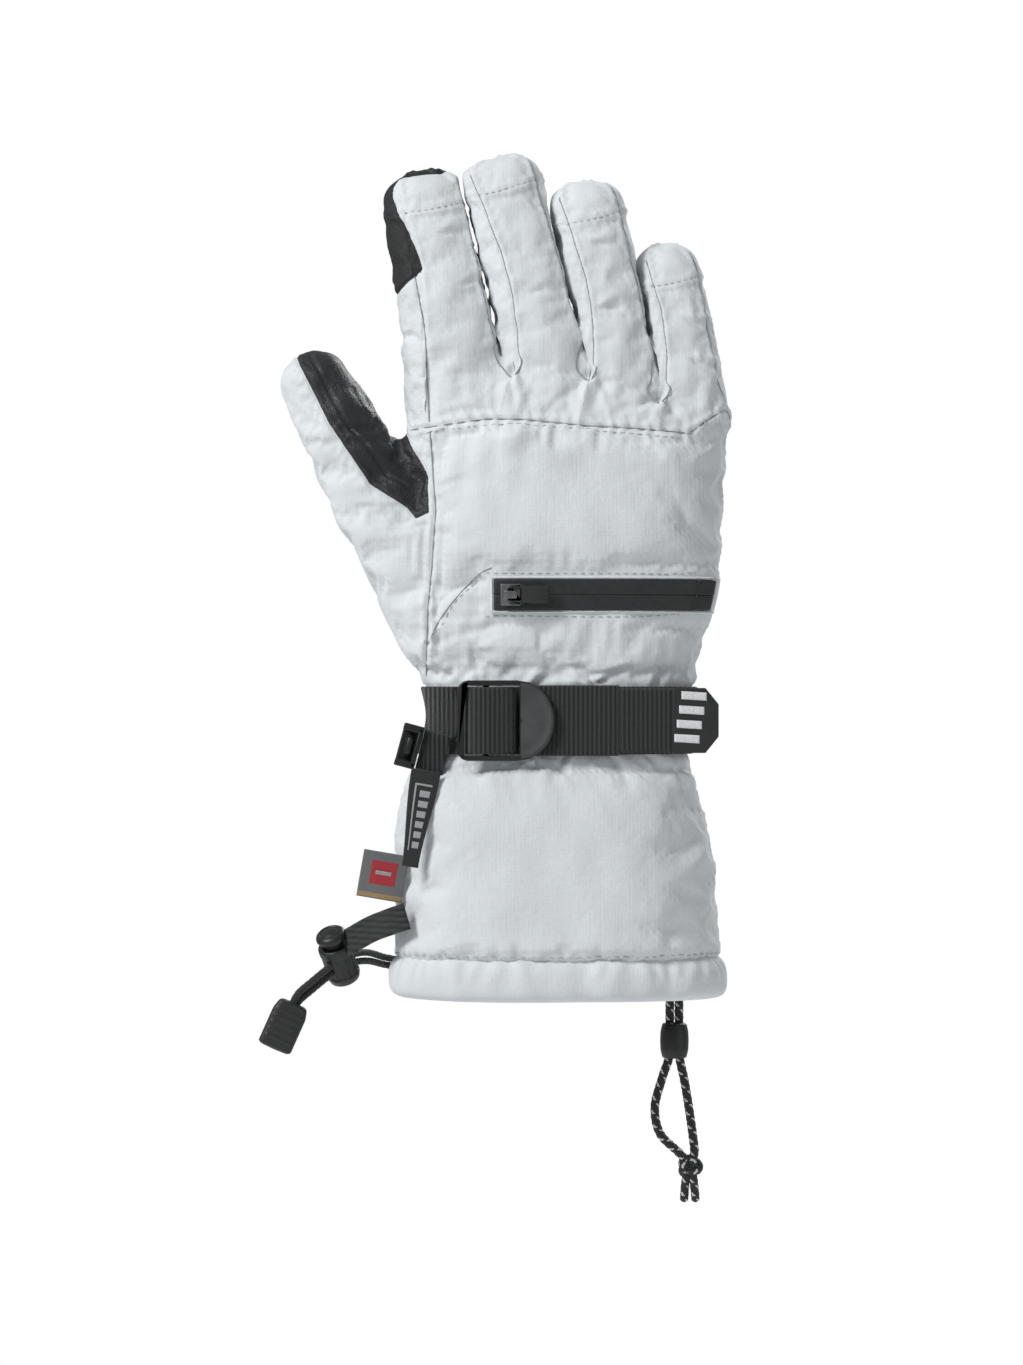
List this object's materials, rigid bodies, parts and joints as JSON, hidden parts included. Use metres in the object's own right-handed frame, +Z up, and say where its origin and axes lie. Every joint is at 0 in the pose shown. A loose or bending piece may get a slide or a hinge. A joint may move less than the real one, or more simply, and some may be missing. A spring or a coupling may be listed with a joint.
{
  "type": "ski glove",
  "caption": "Right-hand insulated ski glove with gauntlet cuff, wrist strap, leather palm, zip pocket on the back, drawcord and wrist leash.",
  "frame": {"origin": "centre of the hand opening in the plane of the hem", "axes": "+Z up from the hem to the fingertips, -Y out of the back of the hand, +X towards the little finger"},
  "size_m": [0.1742, 0.066, 0.3954],
  "materials": {
    "shell_fabric": "matt woven nylon, light cool grey",
    "palm_leather": "fine-grained synthetic leather, charcoal",
    "touch_leather": "smooth matt touch leather, black",
    "lining": "brushed fleece over insulation, dark grey",
    "webbing": "ribbed polyester webbing, black",
    "black_plastic": "satin moulded acetal, black",
    "dark_rubber": "soft moulded rubber, black",
    "cord": "braided cord, black",
    "dark_steel": "dark plated steel",
    "label_cloth": "woven grey label"
  },
  "bodies": {
    "gauntlet": {"gauntlet_back_shell": "shell_fabric", "gauntlet_palm_shell": "shell_fabric", "gauntlet_liner": "lining", "hem_binding": "shell_fabric", "drawcord_eyelet": "dark_steel", "wrist_elastic": "shell_fabric", "strap_anchor": "webbing", "strap_under_layer": "webbing", "clip_bar": "black_plastic", "clip_webbing": "webbing", "care_label": "webbing", "size_label": "label_cloth", "cord_tether": "webbing", "drawcord_front": "cord", "drawcord_rear": "cord", "cord_lock_barrel": "black_plastic", "cord_lock_spring": "dark_steel", "cord_end_tab": "dark_rubber"},
    "hand": {"knuckle_panel": "shell_fabric", "hand_back_panel": "shell_fabric", "thumb_heel_shell": "shell_fabric", "palm_patch_upper": "palm_leather", "palm_patch_middle": "palm_leather", "palm_patch_lower": "palm_leather", "hand_liner": "lining", "zip_tape": "dark_rubber", "pocket_bag": "lining", "zip_end_stop": "dark_rubber"},
    "index": {"index_tip_cap": "touch_leather", "index_palm_leather": "palm_leather", "index_back_shell": "shell_fabric", "index_liner": "lining"},
    "middle": {"middle_palm_leather": "palm_leather", "middle_back_shell": "shell_fabric", "middle_liner": "lining"},
    "ring": {"ring_palm_leather": "palm_leather", "ring_back_shell": "shell_fabric", "ring_liner": "lining"},
    "little": {"little_palm_leather": "palm_leather", "little_back_shell": "shell_fabric", "little_liner": "lining"},
    "thumb": {"thumb_palm_leather": "palm_leather", "thumb_back_shell": "shell_fabric", "thumb_liner": "lining"},
    "zip_slider": {"zip_slider": "dark_steel"},
    "zip_puller": {"zip_puller": "dark_rubber"},
    "ladder_lock": {"ladder_lock_frame": "black_plastic", "strap_wrap": "webbing"},
    "strap_tail": {"tail_webbing": "webbing", "tail_strip": "webbing", "pull_tab": "dark_rubber"},
    "clip": {"clip_socket": "black_plastic"},
    "lock_button": {"cord_lock_button": "black_plastic"},
    "leash": {"leash_cord_left": "cord", "leash_cord_right": "cord", "leash_knot": "cord"},
    "bead": {"leash_bead": "black_plastic"}
  },
  "joints": [
    {"name": "wrist_bend", "type": "hinge", "parent": "gauntlet", "child": "hand", "pos_m": [0, 0, 0.1225], "axis": [-1, 0, 0], "range_deg": [-20, 25], "deforming": ["wrist_elastic"]},
    {"name": "index_bend", "type": "hinge", "parent": "hand", "child": "index", "pos_m": [-0.04096, 0.01547, 0.2478], "axis": [-0.9857, 0, -0.1684], "range_deg": [0, 60]},
    {"name": "middle_bend", "type": "hinge", "parent": "hand", "child": "middle", "pos_m": [-0.00649, 0.01545, 0.24766], "axis": [-0.9754, 0, -0.2205], "range_deg": [0, 60]},
    {"name": "ring_bend", "type": "hinge", "parent": "hand", "child": "ring", "pos_m": [0.02093, 0.01498, 0.2427], "axis": [-0.9788, 0, -0.2047], "range_deg": [0, 60]},
    {"name": "little_bend", "type": "hinge", "parent": "hand", "child": "little", "pos_m": [0.04651, 0.0141, 0.23579], "axis": [-0.9853, 0, -0.1708], "range_deg": [0, 60]},
    {"name": "thumb_bend", "type": "hinge", "parent": "hand", "child": "thumb", "pos_m": [-0.07212, 0.0166, 0.19298], "axis": [-0.8992, 0, -0.4375], "range_deg": [0, 35]},
    {"name": "zip_run", "type": "hinge", "parent": "hand", "child": "zip_slider", "pos_m": [0.003, 0.1327, 0.1492], "axis": [0, 0, 1], "range_deg": [0, 22]},
    {"name": "puller_flip", "type": "hinge", "parent": "zip_slider", "child": "zip_puller", "pos_m": [-0.0182, -0.0292, 0.1492], "axis": [0, 0, -1], "range_deg": [0, 105]},
    {"name": "lever_lift", "type": "hinge", "parent": "gauntlet", "child": "ladder_lock", "pos_m": [-0.0368, -0.029, 0.103], "axis": [0, 0, -1], "range_deg": [0, 20]},
    {"name": "tail_pull", "type": "slide", "parent": "gauntlet", "child": "strap_tail", "axis": [1, 0, 0], "range_m": [0, 0.01]},
    {"name": "clip_swivel", "type": "hinge", "parent": "gauntlet", "child": "clip", "pos_m": [-0.05091, -0.0205, 0.09232], "axis": [0.2588, 0, 0.9659], "range_deg": [-25, 22]},
    {"name": "button_press", "type": "slide", "parent": "gauntlet", "child": "lock_button", "axis": [0.2498, 0.4996, -0.8294], "range_m": [0, 0.002], "stiffness_N_per_m": 400, "springref_m": -0.002, "deforming": ["cord_lock_spring"]},
    {"name": "leash_swing", "type": "hinge", "parent": "gauntlet", "child": "leash", "pos_m": [0.0438, 0.0256, 0], "axis": [1, 0, 0], "range_deg": [-35, 50]},
    {"name": "bead_slide", "type": "slide", "parent": "leash", "child": "bead", "axis": [0, 0, 1], "range_m": [0, 0.009]}
  ]
}
